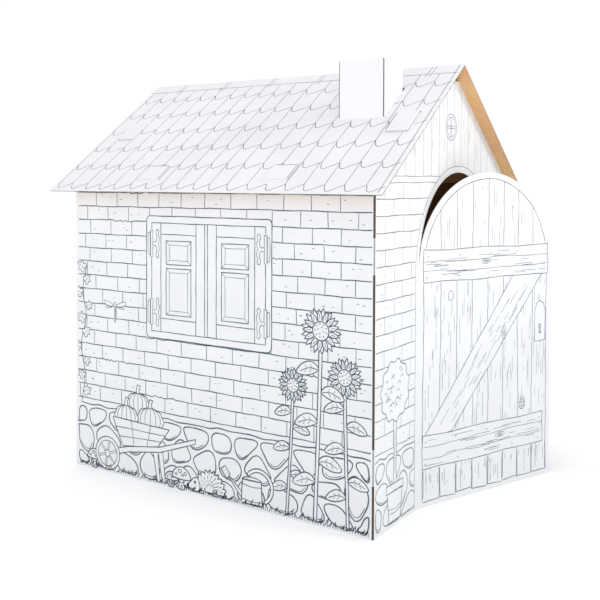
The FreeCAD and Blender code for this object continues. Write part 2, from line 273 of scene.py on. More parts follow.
def cutBoardEdge(name, liner, medium, cavityShade):
    # Die-cut edge of single-wall board: two thin liners with the fluted medium waving between
    # them and the open flutes on either side, painted dark as their shade. U runs along the sheet
    # and V through it, in mm.
    look = cutLook
    material, tree, spot = newMaterial(name)
    plan = add(tree, "ShaderNodeUVMap", sheetPlan)
    parts = add(tree, "ShaderNodeSeparateXYZ", {"Vector": plan})
    angle = add(tree, "ShaderNodeMath", {
        "operation": "MULTIPLY", 0: (parts, "X"), 1: 2 * pi / house["flutePitch"]})
    wave = add(tree, "ShaderNodeMath", {"operation": "SINE", 0: angle})
    crest = add(tree, "ShaderNodeMath", {
        "operation": "MULTIPLY_ADD", 0: wave, 1: look["swing"], 2: 0.5})
    depth = add(tree, "ShaderNodeMath", {"operation": "DIVIDE", 0: (parts, "Y"), 1: board})
    away = add(tree, "ShaderNodeMath", {"operation": "SUBTRACT", 0: depth, 1: crest})
    gap = add(tree, "ShaderNodeMath", {"operation": "ABSOLUTE", 0: away})
    isMedium = add(tree, "ShaderNodeMath", {
        "operation": "LESS_THAN", 0: gap, 1: look["mediumShare"]})
    middle = add(tree, "ShaderNodeMath", {"operation": "SUBTRACT", 0: depth, 1: 0.5})
    reach = add(tree, "ShaderNodeMath", {"operation": "ABSOLUTE", 0: middle})
    isLiner = add(tree, "ShaderNodeMath", {
        "operation": "GREATER_THAN", 0: reach, 1: 0.5 - look["linerShare"]})
    fluff = add(tree, "ShaderNodeTexNoise", {
        "Vector": spot, "Scale": 1000 / look["fluff"], "Detail": 3.0})
    # the open flutes between the medium and the liners get painted shade
    between = add(tree, "ShaderNodeMix", {**mix, 0: isMedium, 6: cavityShade, 7: medium})
    layers = add(tree, "ShaderNodeMix", {**mix, 0: isLiner, 6: (between, 2), 7: liner})
    fluffy = add(tree, "ShaderNodeMix", {**overlay, 0: 0.5, 6: (layers, 2), 7: (fluff, "Color")})
    bump = add(tree, "ShaderNodeBump", {"Height": fluff, "Strength": 0.6, "Distance": 0.4 * mm})
    add(tree, "Principled BSDF", {
        "Base Color": (fluffy, 2), "Normal": bump, "Roughness": 0.92,
        "IOR": 1.47, "Specular IOR Level": 0.15})
    return material


crushLook = {
    "white": "#E4E6E8",
    "turn": "#4E433B",
    "kraft": "#7A6C60",
    "ragged": 0.5,  # mm, how far the torn line wanders
    "tear": 6.25,  # mm, how long its waves are, drawn coarse enough to show
}


def crushedEdge(name, cover):
    # Outline cut by a steel rule: the rule pinches the board, so the white liner rolls over the
    # edge and only a thin brown line of medium and kraft stays open below it. Cover is the share of
    # the thickness that it hides.
    look = crushLook
    material, tree, spot = newMaterial(name)
    plan = add(tree, "ShaderNodeUVMap", sheetPlan)
    parts = add(tree, "ShaderNodeSeparateXYZ", {"Vector": plan})
    tear = add(tree, "ShaderNodeTexNoise", {
        "Vector": spot, "Scale": 1000 / look["tear"], "Detail": 4.0})
    depth = add(tree, "ShaderNodeMath", {"operation": "DIVIDE", 0: (parts, "Y"), 1: board})
    ragged = add(tree, "ShaderNodeMath", {
        "operation": "MULTIPLY_ADD", 0: tear, 1: look["ragged"] / board * 2, 2: depth})
    share = cover + look["ragged"] / board
    tone = add(tree, "ShaderNodeValToRGB", {
        "Fac": ragged,
        "stops": ((share, look["white"]), (share + 0.06, look["turn"]), (0.95, look["kraft"]))})
    bump = add(tree, "ShaderNodeBump", {"Height": tear, "Strength": 0.5, "Distance": 0.4 * mm})
    add(tree, "Principled BSDF", {
        "Base Color": tone, "Normal": bump, "Roughness": 0.85,
        "IOR": 1.47, "Specular IOR Level": 0.2})
    return material


inkLook = {"drink": 16.67, "roughness": 0.6}  # drink in mm


def lithoInk(name, full, thin):
    # Water-based litho ink on the coated liner: a slate blue line that is a little uneven, since
    # the paper drinks it unequally, and as matt as the paper under it.
    material, tree, spot = newMaterial(name)
    drink = add(tree, "ShaderNodeTexNoise", {
        "Vector": spot, "Scale": 1000 / inkLook["drink"], "Detail": 4.0, "Roughness": 0.7})
    tone = add(tree, "ShaderNodeValToRGB", {"Fac": drink, "stops": ((0.35, full), (0.70, thin))})
    add(tree, "Principled BSDF", {
        "Base Color": tone, "Roughness": inkLook["roughness"],
        "IOR": 1.48, "Specular IOR Level": 0.3})
    return material


printedPaper = clayCoatedLiner("clayCoatedWhiteLiner", "#E1E2E5", "#E7E8EB")
# the chimney's liner is unprinted, and a touch whiter than the printed sheets as painted light
litBlankPaper = clayCoatedLiner("clayCoatedBlankLinerPaintedLight", "#E9EAED", "#EDEEF1")
kraftPaper = kraftLiner("unbleachedKraftLiner", "#BE8E59", "#E4B17B", "#F0C694")
# a darker copy of the kraft for the walls' inside: painted shade, so that the interior looks dark
insideShadePaper = kraftLiner("brownLinerPaintedInteriorShade", "#66492F", "#866342", "#97724E")
cutEdge = cutBoardEdge("dieCutFluteEdge", "#9C8E80", "#786A5E", "#443A34")
# a darker copy of the cut edge for the slits in the roof and chimney: painted shade of the nearly
# closed slit
shadedSlotEdge = cutBoardEdge("dieCutSlotEdgePaintedShade", "#776A5D", "#584C42", "#2B2521")
pinchedEdge = crushedEdge("ruleCutCrushedEdge", 0.52)
tabEdge = crushedEdge("ruleCutTabEdge", 0.72)
creasedFold = creasedLiner("creasedCoatedLiner")
wallInk = lithoInk("slateLithoInk", "#475764", "#667582")
# a paler copy of the slate ink for the front gable and the door leaf: painted light on the lit
# front
litSlateInk = lithoInk("slateLithoInkPaintedLight", "#5E6A74", "#84909A")
# brown lines along the tabs' open ends: cut edge with painted shadow of the gap beneath
tabEdgeAndShadowInk = lithoInk("brownTabEdgeAndPaintedGapShadow", "#4A423C", "#6E6258")
roofInk = lithoInk("greyLithoInk", "#5C5F61", "#828587")
print("materials made")

# what a face of a sheet can be; these are its material slots in order
outerSide, innerSide, slitCut, outlineCut, tabCut, foldSkin = range(6)

sorting = {
    "near": 0.4,  # mm, how far off a chart's plane a face may lie and still count as on it
    "parallel": 0.95,  # cosine of the angle to the chart, at least
    "crosswise": 0.3,  # and at most, for a cut edge
    "edgeRoom": 3.0,  # mm inside the roof's outline, where a cut is a slot
}
near, room = sorting["near"], sorting["edgeRoom"]
roofField = (("along", room - house["frontOverhang"], length + house["rearOverhang"] - room),
             ("up", room - house["eaveReach"], slopeLength - room))


def dressSheet(node, name, papers, faces):
    # Outer paper where a face lies on a chart's plane, inner one board behind it, else a cut edge.
    # Where two walls meet, and in the roof's field, the cut is a slit. Elsewhere it is an outline
    # pinched by the rule, which also shows where the slit's fold is pressed shut.
    piece = addObject(name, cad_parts[node].data.copy())
    mesh = piece.data
    mesh.materials.clear()
    for material in papers + (pinchedEdge, tabEdge, creasedFold):
        mesh.materials.append(material)
    plan = mesh.uv_layers.new(name="sheetPlan")
    for polygon in mesh.polygons:
        flat, edges, wallsHere = None, [], 0
        curved, closest = (faces[0], outerSide), 0.0
        for face in faces:
            depth = (face["origin"] - polygon.center).dot(face["out"]) / mm
            facing = polygon.normal.dot(face["out"])
            if facing > sorting["parallel"] and abs(depth) < near:
                flat = (face, outerSide)
            elif facing < -sorting["parallel"] and abs(depth - board) < near:
                flat = flat or (face, innerSide)
            if -near < depth < board + near:
                wallsHere += face["out"].z == 0
                if abs(facing) < sorting["crosswise"]:
                    edges.append(face)
                if abs(facing) > closest:
                    skin = outerSide if face["cut"] == "tab" else foldSkin
                    curved, closest = (face, skin if facing > 0 else innerSide), abs(facing)
        if flat:
            best, side = flat
        elif edges:
            best = edges[0]
            spot = polygon.center - best["origin"]
            inField = all(low < spot.dot(best[way]) / mm < high for way, low, high in roofField)
            plainCut = slitCut if wallsHere > 1 or node == "roof" and inField else outlineCut
            side = {"tab": tabCut, "shut": outlineCut}.get(best["cut"], plainCut)
        else:
            best, side = curved
        polygon.material_index = side
        for loop in polygon.loop_indices:
            corner = mesh.vertices[mesh.loops[loop].vertex_index].co - best["origin"]
            run, rise, through = (corner.dot(best[way]) / mm for way in ("along", "up", "out"))
            plan.data[loop].uv = (run, -through if side in (slitCut, outlineCut, tabCut) else rise)
    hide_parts(node)
    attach(piece, "root")
    return piece


# the walls' inside paper is the darkened kraft, painted interior shade
wallPapers = (printedPaper, insideShadePaper, cutEdge)
sheets = {
    "front_and_left_wall": ("sheetFrontLeft", wallPapers,
                            "leftWall frontGable doorLeaf frontFlap leftTabs rightTabs"),
    "rear_and_right_wall": ("sheetRearRight", wallPapers,
                            "rightWall rearGable rearFlap leftTabs rightTabs"),
    "roof": ("sheetRoof", (printedPaper, kraftPaper, shadedSlotEdge), "leftSlope rightSlope"),
    "chimney": ("sheetChimney", (litBlankPaper, kraftPaper, shadedSlotEdge),
                "chimneyLeft chimneyFront chimneyRight chimneyRear"),
}
for node, (name, papers, faces) in sheets.items():
    piece = dressSheet(node, name, papers, [charts[face] for face in faces.split()])
print("sheets dressed")


def inside(points, polygon):
    # which points lie in a polygon, by counting the sides that a level line from each crosses
    x, y = points[:, 0], points[:, 1]
    result = np.zeros(len(points), bool)
    for (ax, ay), (bx, by) in zip(polygon, np.roll(polygon, -1, axis=0)):
        if ay != by:
            result ^= ((ay > y) != (by > y)) & (x < ax + (y - ay) * (bx - ax) / (by - ay))
    return result


def resample(points, step):
    # the same line with points no further apart than step, so that it can waver
    pieces = []
    for a, b in zip(points[:-1], points[1:]):
        count = max(1, int(ceil(np.hypot(*(b - a)) / step)))
        pieces.append(a + (b - a) * (np.arange(count) / count)[:, None])
    return np.concatenate(pieces + [points[-1:]])


def smoothCurve(points, closed=False, steps=6):
    # Catmull-Rom through every point
    points = np.asarray(points, float)
    if closed:
        ring = np.concatenate([points[-1:], points, points[:2]])
    else:
        ring = np.concatenate([2 * points[:1] - points[1:2], points,
                               2 * points[-1:] - points[-2:-1]])
    result = []
    for p0, p1, p2, p3 in zip(ring[:-3], ring[1:-2], ring[2:-1], ring[3:]):
        for t in np.arange(steps) / steps:
            result.append(0.5 * ((2 * p1) + (p2 - p0) * t + (2 * p0 - 5 * p1 + 4 * p2 - p3) * t ** 2
                                 + (3 * p1 - p0 - 3 * p2 + p3) * t ** 3))
    result.append(points[0] if closed else points[-1])
    return np.array(result)


penLook = {
    "step": 3.0,  # mm between the points of a line
    "lift": 0.15,  # mm above the board
    "waverU": ((19, 0.6), (6.3, 0.3)),  # waves of a shaky line: mm long, and share of the shake
    "waverV": ((23, 0.7), (7.1, 0.3)),
    "uneven": (0.14, 17),  # how much a line's width swells and thins, and over how many mm
    "endWidth": 0.55,  # of its width, where it starts and ends
    "mitre": 0.6,  # cosine of half a bend: the line grows no wider where it is sharper
}
# a stroke's name tells whether it is smooth, closed, and hides what is drawn after it
strokes = {
    "line": (False, False, False), "curve": (True, False, False), "outline": (False, True, False),
    "ring": (True, True, False), "plate": (False, True, True), "blob": (True, True, True),
}


class Print:
    # The line print on one chart, drawn in mm as thin ribbons of ink just above the board. What is
    # drawn first lies in front: plates and blobs keep later strokes out of their area.
    def __init__(self, name, face, outline, ink, seed):
        self.name, self.face, self.ink = name, face, ink
        self.outline = np.asarray(outline, float)
        self.dice = random.Random(seed)
        self.press = 1.0  # how heavy the lines are
        self.covers, self.runs = [], []

    def cover(self, outline):
        outline = np.asarray(outline, float)
        self.covers.append((outline, outline.min(0), outline.max(0)))

    def draw(self, stroke, points, width=2.2, shake=0.5, spot=(0, 0, 1, 1)):
        # spot is where a motif stands: u, v, its size, and -1 where it is mirrored
        smooth, closed, hides = strokes[stroke]
        u, v, size, flip = spot
        points = np.asarray(points, float) * (flip * size, size) + (u, v)
        if smooth:
            points = smoothCurve(points, closed)
        elif closed:
            points = np.concatenate([points, points[:1]])
        shape = points
        points = resample(points, penLook["step"])
        still = points.copy()
        for axis, waver in enumerate(("waverU", "waverV")):
            shares = [np.sin(still[:, 1 - axis] / wave + self.dice.uniform(0, wholeTurn)) * share
                      for wave, share in penLook[waver]]
            points[:, axis] = still[:, axis] + shake * sum(shares)
        keep = inside(points, self.outline)
        low, high = points.min(0), points.max(0)
        for outline, coverLow, coverHigh in self.covers:
            if (low < coverHigh).all() and (high > coverLow).all():
                keep &= ~inside(points, outline)
        gaps = np.flatnonzero(~keep)
        for start, end in zip([0, *(gaps + 1)], [*gaps, len(points)]):
            if end - start > 1:
                self.runs.append((points[start:end], width * self.press))
        if hides:
            self.cover(shape)

    def motif(self, parts, u, v, size=1.0, flip=1):
        # parts are strokes in the motif's own mm, x to the viewer's right
        for part in parts:
            self.draw(*part, spot=(u, v, size, flip))

    def build(self):
        corners, quads = [], []
        uneven, wave = penLook["uneven"]
        for points, width in self.runs:
            steps = np.diff(points, axis=0)
            lengths = np.maximum(np.hypot(steps[:, 0], steps[:, 1]), 1e-6)
            ways = steps / lengths[:, None]
            turns = np.concatenate([ways[:1], ways[:-1] + ways[1:], ways[-1:]])
            turns /= np.maximum(np.hypot(turns[:, 0], turns[:, 1]), 1e-6)[:, None]
            across = np.stack([-turns[:, 1], turns[:, 0]], axis=1)
            match = np.concatenate([[1.0], np.sum(turns[1:-1] * ways[1:], axis=1), [1.0]])
            travelled = np.concatenate([[0], np.cumsum(lengths)])
            swell = 1 + uneven * np.sin(travelled / wave + self.dice.uniform(0, wholeTurn))
            half = width / 2 * swell / np.maximum(match, penLook["mitre"])
            half[[0, -1]] *= penLook["endWidth"]
            base = len(corners)
            for point, side, reach in zip(points, across, half):
                for sign in (1, -1):
                    u, v = point + side * reach * sign
                    corners.append(place(self.face, u, v, penLook["lift"]))
            quads += [(a, a + 1, a + 3, a + 2) for a in range(base, len(corners) - 2, 2)]
        mesh = bpy.data.meshes.new(self.name)
        mesh.from_pydata(corners, [], quads)
        mesh.materials.append(self.ink)
        if quads and mesh.polygons[0].normal.dot(self.face["out"]) < 0:
            mesh.flip_normals()
        piece = addObject(self.name, mesh)
        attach(piece, "root")
        print("printed", self.name, len(self.runs), "lines,", len(quads), "faces")


def rectangle(u0, v0, u1, v1):
    return [(u0, v0), (u1, v0), (u1, v1), (u0, v1)]


def circle(x, y, radius, tall=None, count=16, start=0.0, sweep=2 * pi):
    tall = radius if tall is None else tall
    closed = abs(sweep - 2 * pi) < 0.01
    steps = count if closed else count - 1
    return [(x + radius * cos(start + sweep * k / steps), y + tall * sin(start + sweep * k / steps))
            for k in range(count)]


def arch(low, u0, u1, spring, grow=0.0):
    # an upright round arch from v = low, grown outward by a margin
    curve = circle((u0 + u1) / 2, spring, (u1 - u0) / 2 + grow, count=41, sweep=pi)
    return [(u1 + grow, low)] + curve + [(u0 - grow, low)]


brickLook = {
    "course": 38.0, "brick": 78.0, "bed": 193.0,
    "lineWidth": 2.5, "jointWidth": 1.85, "speckWidth": 1.4,
}


def brickwork(paper, u0, u1, v0, v1, look=brickLook):
    # running bond, with a few specks and some bed lines that crumble
    dice = paper.dice
    v = v0
    course = 0
    while v < v1:
        tilt = dice.uniform(-1.2, 1.2)
        points = []
        crumble = dice.random() < 0.3
        start = dice.uniform(u0, u1 - 120)
        for u in np.arange(u0, u1 + 1, 6.0):
            rough = dice.uniform(-2.4, 2.4) if crumble and start < u < start + 90 else 0.0
            points.append((min(u, u1), v + tilt * sin(u / 190) + rough))
        paper.draw("line", points, look["lineWidth"], 0.8)
        u = u0 + look["brick"] * (0.5 if course % 2 else 1.0) + dice.uniform(-4, 4)
        previous = u0
        while u < u1 - 8:
            lean = dice.uniform(-1.2, 1.2)
            paper.draw("line", [(u, v + 1), (u + lean, v + look["course"] - 1)],
                       look["jointWidth"], 0.4)
            for _ in range(dice.choice((0, 1, 1, 2))):
                x = dice.uniform(previous + 12, u - 12)
                y = v + dice.uniform(9, look["course"] - 9)
                speck = [(x, y), (x + dice.uniform(5, 9), y + dice.uniform(-1, 1))]
                paper.draw("line", speck, look["speckWidth"], 0.2)
            previous = u
            u += look["brick"] + dice.uniform(-5, 5)
        v += look["course"]
        course += 1


def clipCell(cell, point, other):
    # the part of a convex cell that lies nearer to point than to other
    middle, way = (point + other) / 2, other - point
    result = []
    for a, b in zip(cell, cell[1:] + cell[:1]):
        sideA, sideB = float(np.dot(a - middle, way)), float(np.dot(b - middle, way))
        if sideA <= 0:
            result.append(a)
        if sideA * sideB < 0:
            result.append(a + (b - a) * (sideA / (sideA - sideB)))
    return result


stoneLook = {
    "wide": 84.0, "tall": 60.0, "joint": 5.5, "jitter": 0.33, "smallest": (16, 14),
    "lineWidth": 2.7,
}


def fieldStones(paper, u0, u1, v0, v1):
    # a rubble footing: the cells round scattered points, drawn in from the joint and rounded off
    look = stoneLook
    dice = paper.dice
    edge = [(u, v1 + dice.uniform(-3, 3)) for u in np.arange(u0, u1 + 1, 24.0)]
    paper.draw("curve", edge, 2.6, 0.8)
    rows = max(1, round((v1 - v0) / look["tall"]))
    columns = max(1, round((u1 - u0) / look["wide"]))
    stepU, stepV = (u1 - u0) / columns, (v1 - v0) / rows
    sites = []
    for row in range(rows):
        for column in range(columns + 1):
            across = column + row % 2 / 2 + dice.uniform(-look["jitter"], look["jitter"])
            up = row + 0.5 + dice.uniform(-look["jitter"], look["jitter"]) * 0.8
            sites.append(np.array([u0 + across * stepU, v0 + up * stepV]))
    for site in sites:
        cell = [np.array(corner) for corner in rectangle(u0, v0, u1, v1 - 4)]
        for other in sites:
            if other is not site and np.hypot(*(other - site)) < 3 * look["wide"] and len(cell) > 2:
                cell = clipCell(cell, site, other)
        if len(cell) < 3:
            continue
        cell = np.array(cell)
        for _ in range(2):  # corner cutting rounds the cell off
            after = np.roll(cell, -1, axis=0)
            cell = np.stack([cell * 0.75 + after * 0.25, cell * 0.25 + after * 0.75],
                            axis=1).reshape(-1, 2)
        heart = cell.mean(0)
        reach = np.hypot(*(cell - heart).T)
        stone = heart + (cell - heart) * ((reach - look["joint"]) / reach)[:, None]
        if (np.ptp(stone, axis=0) < look["smallest"]).any():
            continue
        paper.draw("outline", stone, look["lineWidth"], 0.9)
        share = len(stone) // 3  # a shade line along its lower third
        shade = np.roll(stone, share // 2 - int(np.argmin(stone[:, 1])), axis=0)[:share]
        paper.draw("line", heart + (shade - heart) * 0.84, 1.6)


def grass(paper, u0, u1, height):
    # tufts of two curved strokes that meet at the tip
    dice = paper.dice
    u = u0
    while u < u1:
        tall = height * dice.uniform(0.5, 1.0)
        lean = dice.uniform(-8, 8)
        for foot, bend, share in ((0, 0, 0.6), (7, 5, 0.5)):
            blade = [(u + foot, 6), (u + bend + lean * 0.4, tall * share), (u + lean, tall)]
            paper.draw("curve", blade, 1.6, 0.3)
        u += dice.uniform(7, 15)


shutterLook = {
    "u0": 275.0, "u1": 675.0, "v0": 385.0, "v1": 703.0,
    "frame": 18.0, "corner": 12.0, "middle": 9.0,
    "hingeStile": 32.0, "meetingStile": 28.0, "topRail": 656.0, "bottomRail": 438.0,
    "lowHinge": 30.0, "highHinge": 74.0,  # up from the sill and down from the head
    "panelFrom": 50.0, "panelTo": 133.0, "panels": ((449.0, 569.0), (579.0, 640.0)), "bevel": 11.0,
}


def shutters(paper):
    # a closed pair of panelled shutters in a rounded frame
    look = shutterLook
    u0, u1, v0, v1, r = (look[key] for key in ("u0", "u1", "v0", "v1", "corner"))
    rounded = []
    for k, (u, v) in enumerate(((u1 - r, v0 + r), (u1 - r, v1 - r),
                                (u0 + r, v1 - r), (u0 + r, v0 + r))):
        rounded += circle(u, v, r, count=5, start=(k - 1) * pi / 2, sweep=pi / 2)
    a0, a1, b0, b1 = u0 + look["frame"], u1 - look["frame"], v0 + look["frame"], v1 - look["frame"]
    for hinge, way in ((a0, 1), (a1, -1)):
        for level in (b0 + look["lowHinge"], b1 - look["highHinge"]):
            strapHinge(paper, hinge, level, way)
        meeting = (a0 + a1) / 2 - way * look["middle"] / 2
        stile = hinge + way * look["hingeStile"]
        other = meeting - way * look["meetingStile"]
        for u in (meeting, stile, other):
            paper.draw("line", [(u, b0), (u, b1)], 2.3)
        for level in (look["bottomRail"], look["topRail"]):
            paper.draw("line", [(stile, level), (other, level)])
        for low, high in look["panels"]:
            raisedPanel(paper, hinge + way * look["panelFrom"], low,
                        hinge + way * look["panelTo"], high)
    paper.draw("outline", rectangle(a0, b0, a1, b1), 2.3)
    paper.draw("plate", rounded, 2.8)


def raisedPanel(paper, u0, v0, u1, v1):
    bevel = shutterLook["bevel"]
    side = bevel if u1 > u0 else -bevel
    outer = rectangle(u0, v0, u1, v1)
    inner = rectangle(u0 + side, v0 + bevel, u1 - side, v1 - bevel)
    paper.draw("outline", outer, 2.4)
    paper.draw("outline", inner, 1.4)
    for mitre in zip(outer, inner):
        paper.draw("line", mitre, 1.3)


def strapHinge(paper, u, v, way):
    # a forged hinge: a plate on the frame, a knuckle, and a strap that forks into two curls
    fork = [(4, 16), (14, 15), (18, 4), (15, -8), (19, -17), (25, -12), (23, -3), (27, 6), (24, 20),
            (27, 34), (23, 43), (25, 52), (19, 57), (15, 48), (18, 36), (14, 25), (4, 24)]
    paper.motif((
        ("blob", fork, 1.7, 0.2),
        ("plate", rectangle(-4 * way, -14, 4 * way, 54), 1.8, 0.2),
        ("plate", [(-12, -8), (-5, -10), (-5, 50), (-12, 48), (-13, 20)], 1.7, 0.2),
    ), u, v, flip=way)


def woodGrain(paper, u0, v0, u1, v1, count, weight=1.0, lying=False):
    # short broken grain lines along a plank
    dice = paper.dice
    for _ in range(count):
        if lying:
            v = dice.uniform(v0 + 5, v1 - 5)
            u = dice.uniform(u0, u1 - 10)
            long = dice.uniform(12, min(90, max(14, u1 - u)))
            paper.draw("line", [(u, v), (u + long, v + dice.uniform(-1.5, 1.5))], 1.1 * weight)
        else:
            u = dice.uniform(u0 + 4, u1 - 4)
            v = dice.uniform(v0, v1 - 10)
            long = dice.uniform(8, min(60, max(12, v1 - v)))
            paper.draw("line", [(u, v), (u + dice.uniform(-1, 1), v + long)], 1.1 * weight, 0.4)


def knot(paper, u, v, wide, tall):
    for scale in (1.0, 0.55, 0.2):
        paper.draw("ring", circle(u, v, wide * scale, tall * scale, 8), 1.2, 0.3)


doorLook = {
    "margin": 16.0, "planks": 8,
    "ledges": ((548.0, 628.0, 470.0), (92.0, 174.0, 454.0)),  # from, to and how far across
    "ladybird": (372, 205), "knothole": (108, 512), "keyhole": (441, 402),
    "ledgeGrain": 26, "braceGrain": 36, "plankGrain": 27,
}


def doorLeaf(paper):
    # ledged and braced planks, with ragged plank ends at the foot
    look = doorLook
    dice = paper.dice
    m = look["margin"]
    (upper, _, _), (lower, lowerTop, _) = look["ledges"]
    paper.motif(ladybird, *look["ladybird"])
    paper.draw("blob", circle(*look["knothole"], 9, 12, 8), 1.6)
    paper.motif((
        ("outline", [(0, 0), (-3, -14), (4, -14)], 3.2, 0.1),
        ("ring", circle(0, 5, 4.5, count=6), 3.0, 0.1),
        ("plate", [(-20, -36), (21, -34), (22, 46), (14, 66), (0, 74), (-13, 66), (-21, 44)],
         1.8, 0.3),
    ), *look["keyhole"])
    for low, high, end in look["ledges"]:
        ledge = [(m, low), (m + 60, low + 3), (m + 170, low - 1), (m + 290, low + 2), (end, low),
                 (end + 2, low + 30), (end - 2, low + 46), (end, high), (m + 330, high - 2),
                 (m + 210, high + 2), (m + 90, high - 2), (m, high + 1), (m - 2, (low + high) / 2)]
        knot(paper, (m + end) / 2 + dice.uniform(-30, 60), (low + high) / 2 + 4, 17, 6)
        for nail in range(5):
            for row in (low + 14, high - 14):
                u = m + 14 + (end - m - 28) * nail / 4 + dice.uniform(-6, 6)
                paper.draw("curve", [(u - 2.5, row), (u, row - 2.5), (u + 2.5, row)], 1.4, 0.1)
        woodGrain(paper, m + 4, low + 4, end - 4, high - 4, look["ledgeGrain"], lying=True)
        for share in (0.33, 0.66):
            level = low + (high - low) * share
            points = [(m + (end - m) * k / 7, level + dice.uniform(-4, 4)) for k in range(8)]
            paper.draw("curve", points, 1.3, 0.6)
        paper.draw("plate", ledge, 2.0)
    # the brace's middle line
    foot, head = np.array([m + 50, lowerTop - 6]), np.array([392, upper + 2])
    along = (head - foot) / np.hypot(*(head - foot))
    for _ in range(look["braceGrain"]):
        share = dice.uniform(0.05, 0.9)
        start = foot + (head - foot) * share + (dice.uniform(-34, 34), 0)
        paper.draw("line", [start, start + along * dice.uniform(14, 55)], 1.1, 0.4)
    knot(paper, 300, 402, 8, 18)
    paper.draw("plate", [foot - (48, 0), foot + (48, 6), head + (56, 0), head - (56, -2)], 2.0, 0.8)
    middle, radius = doorWidth / 2, doorWidth / 2 - m
    edges = [m + 2 * radius * k / look["planks"] for k in range(look["planks"] + 1)]

    def archAt(away):
        return doorSpring + sqrt(max(0.0, radius ** 2 - away ** 2))

    for k, u in enumerate(edges):
        foot = 14 + dice.uniform(-3, 3)
        bend = dice.uniform(-2.5, 2.5)
        paper.draw("curve", [(u, foot), (u + bend, 240), (u - bend, 420), (u, archAt(u - middle))],
                   1.7, 1.0)
        paper.draw("line", [(u + 2.5, foot + 3), (u + 1.5, lower - 3)], 2.0, 0.8)
        if k < look["planks"]:
            after = edges[k + 1]
            end = 12 + dice.uniform(-3, 5)
            paper.draw("line", [(u + 1.5, end), (after - 1.5, end + dice.uniform(-4, 4))], 2.1, 0.4)
            woodGrain(paper, u + 4, 22, after, lower - 8, 3, 1.1)
            clear = archAt(max(abs(u - middle), abs(after - middle)))
            woodGrain(paper, u, 20, after, clear - 10, look["plankGrain"], 0.85)
    paper.draw("line", arch(14, m, doorWidth - m, doorSpring)[1:-1], 1.9, 0.8)


roofLook = {
    "rows": 6, "rowPitch": 88.5, "firstCrest": 33.0, "tile": 54.4,
    "capLine": 515.0, "capPitch": 168.0, "firstCap": 122.0, "capBand": 11.0,
    "edge": 11.0, "lineWidth": 1.75,
}


def pantiles(paper, u0, u1):
    # s-shaped pantiles in straight columns; v is measured up the slope from the eave
    look = roofLook
    dice = paper.dice
    wave = ((0, 0), (4, -9), (9, -20), (19, -24), (32, -15), (45, -6))
    cap, ridge = look["capLine"], slopeLength + 60
    columns = []
    u = u1 - dice.uniform(4, 20)
    while u > u0 - look["tile"]:
        columns.append(u)
        u -= look["tile"] + dice.uniform(-6, 6)
    for row in range(look["rows"]):
        crest = look["firstCrest"] + row * look["rowPitch"]
        shift = [u + dice.uniform(-2.5, 2.5) for u in columns]
        for u, after in zip(shift, shift[1:]):
            scale = (u - after) / 54.0
            lift = dice.uniform(-2.5, 2.5)
            points = ([(u - du * scale, crest + dv + lift) for du, dv in wave]
                      + [(after, crest + lift)])
            paper.draw("curve", points, look["lineWidth"])
            top = crest + look["rowPitch"] - 3 if row < look["rows"] - 1 else cap
            paper.draw("line", [(u + 1, crest - 2), (u, top)], 1.4, 0.6)
    paper.draw("curve", [(u0, cap), ((u0 + u1) / 2, cap + 3), (u1, cap)], 1.8, 0.8)
    u = u1 - look["firstCap"]
    while u > u0:
        for step in (0, look["capBand"]):
            paper.draw("line", [(u + step, cap - 12), (u + step - 6, ridge)], 1.5, 0.4)
        u -= look["capPitch"]
    paper.draw("line", [(u0 + look["edge"], -5), (u0 + look["edge"], ridge)], 1.6, 0.3)


gableLook = {
    "bed": 185.0, "brick": 88.0, "jointWidth": 1.5, "bandLow": 791.0, "bandHigh": 806.0,
    "plank": 46.0, "border": 17.0, "window": 935.0, "tree": (104.0, 6.0, 1.15), "press": 0.78,
}


def gableFace(paper, withDoor):
    look = gableLook
    dice = paper.dice
    d0, d1 = house["doorFromCorner"], house["doorFromCorner"] + doorWidth
    bandLow, bandHigh = look["bandLow"], look["bandHigh"]
    if withDoor:
        pottedTree(paper, *look["tree"])
        paper.motif(roundWindow, (d0 + d1) / 2 - 53, look["window"])
    paper.press = look["press"]
    if withDoor:
        border = arch(0, d0, d1, doorSpring, look["border"])
        paper.draw("line", border[1:-1], 1.9, 0.7)
        for u in (d0 - look["border"], d1 + look["border"]):
            paper.draw("line", [(u, 0), (u, doorSpring)], 1.9, 0.7)
        paper.cover(border)
    for level in (bandLow, bandHigh):
        paper.draw("curve", [(4, level), (width / 2, level + 2), (width - 4, level)], 1.9, 0.8)
    paper.cover(rectangle(0, bandLow + 2, width, bandHigh - 2))
    u = 14.0
    while u < width - 10:
        top = min(wallTop + min(u, width - u) * slope, gablePeak)
        paper.draw("line", [(u, bandHigh), (u + dice.uniform(-1.5, 1.5), top)], 1.6, 0.7)
        woodGrain(paper, u, bandHigh + 4, u + look["plank"], top - 8, 4)
        u += look["plank"] + dice.uniform(-3, 3)
    paper.outline = np.array(rectangle(5, 0, width - 5, bandLow - 1))  # the bricks end at the band
    bricks = dict(brickLook, brick=look["brick"], jointWidth=look["jointWidth"])
    brickwork(paper, 6, width - 6, look["bed"], bandLow, bricks)
    paper.press = 1.0
    fieldStones(paper, 6, width - 6, 6, look["bed"] - 14)


def gableOutline():
    half, flat, inset = width / 2, house["gableFlat"] / 2, 2.0
    return [(inset, 3), (width - inset, 3), (width - inset, wallTop),
            (half + flat, gablePeak - inset), (half - flat, gablePeak - inset), (inset, wallTop)]


sideLook = {"grass": 26, "shutterPress": 0.95, "heavyPress": 1.22}


def sideFace(paper, withWindow):
    look = sideLook
    if withWindow:
        gardenPicture(paper)
        paper.press = look["shutterPress"]
        shutters(paper)
        paper.press = 1.0
    else:
        grass(paper, 12, length - 14, look["grass"])
    brickwork(paper, 6, length - 7, brickLook["bed"], wallTop)
    paper.press = look["heavyPress"]
    fieldStones(paper, 6, length - 7, 6, brickLook["bed"] - 15)


